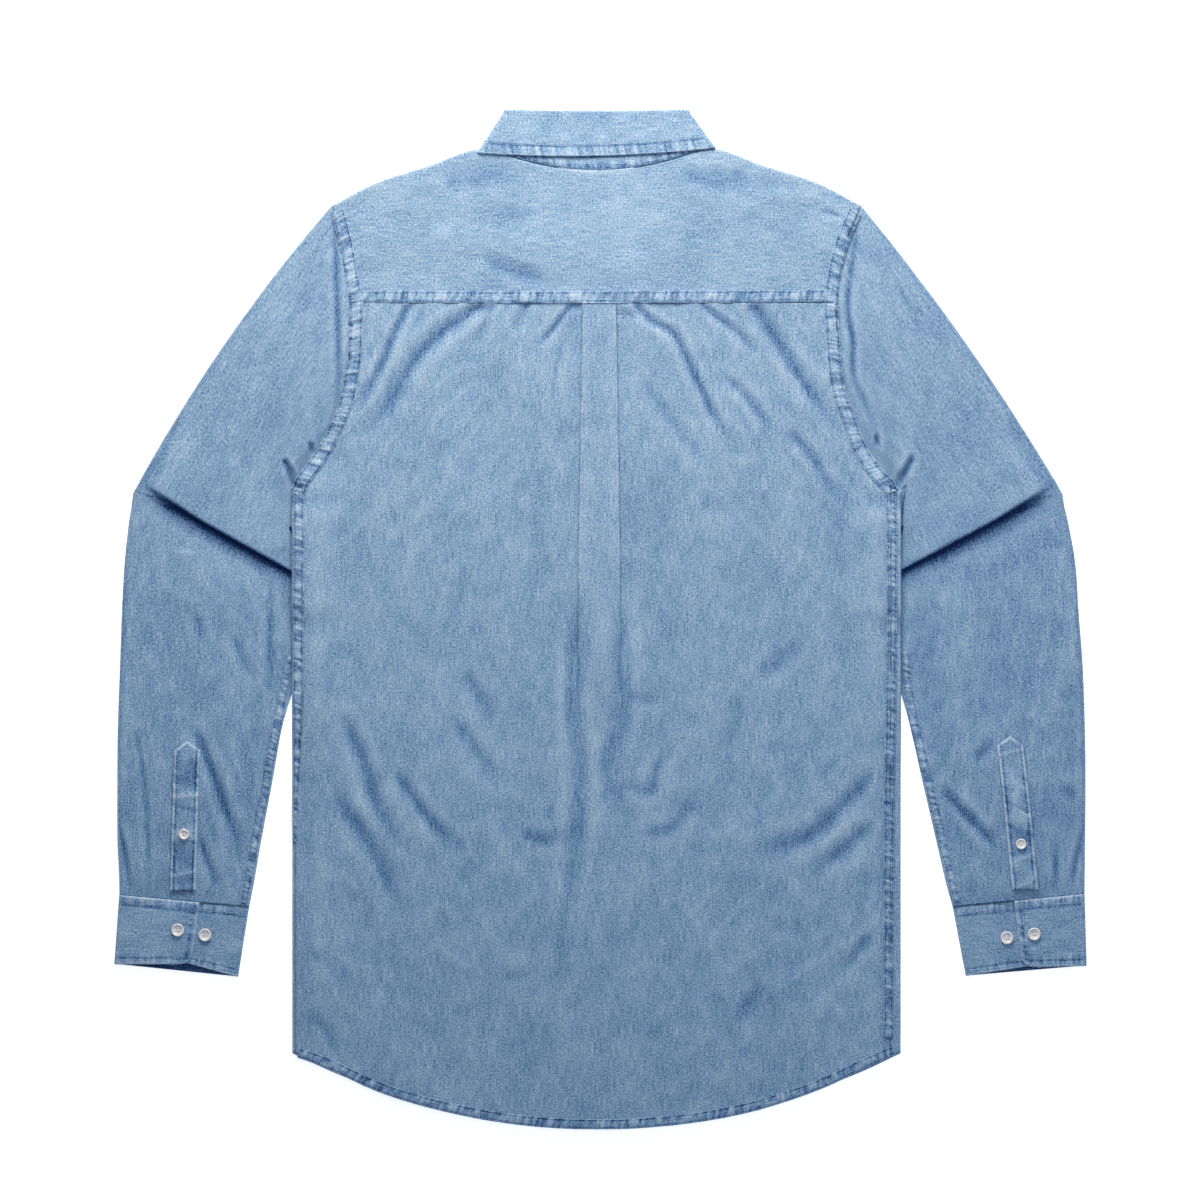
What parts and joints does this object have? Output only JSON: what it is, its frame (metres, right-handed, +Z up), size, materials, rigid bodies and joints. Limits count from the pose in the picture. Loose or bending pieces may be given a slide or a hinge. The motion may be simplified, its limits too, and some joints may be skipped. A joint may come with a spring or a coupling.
{
  "type": "denim shirt laid flat",
  "caption": "Light blue long-sleeved denim shirt lying flat on its front, with collar, yoke, box pleat and buttoned cuffs.",
  "frame": {"origin": "on the table under the middle of the shirt's outline", "axes": "+Y from hem to collar along the centre back, +Z up from the table, +X to the wearer's right; the back faces up"},
  "size_m": [0.8514, 0.892, 0.0124],
  "materials": {
    "denim": "washed light blue denim, plain fine weave, matt",
    "button": "pearl white shirt button, soft gloss"
  },
  "bodies": {
    "root": {"back_panel": "denim", "back_yoke": "denim", "front_left": "denim", "front_right": "denim", "sleeve_left": "denim", "sleeve_right": "denim", "sleeve_placket_left": "denim", "sleeve_placket_right": "denim", "cuff_left": "denim", "cuff_right": "denim", "collar_stand": "denim", "collar_fall": "denim", "cuff_button_left_1": "button", "cuff_button_left_2": "button", "placket_button_left": "button", "cuff_button_right_1": "button", "cuff_button_right_2": "button", "placket_button_right": "button", "front_button_1": "button", "front_button_2": "button", "front_button_3": "button", "front_button_4": "button", "front_button_5": "button", "front_button_6": "button", "front_button_7": "button"}
  },
  "joints": []
}
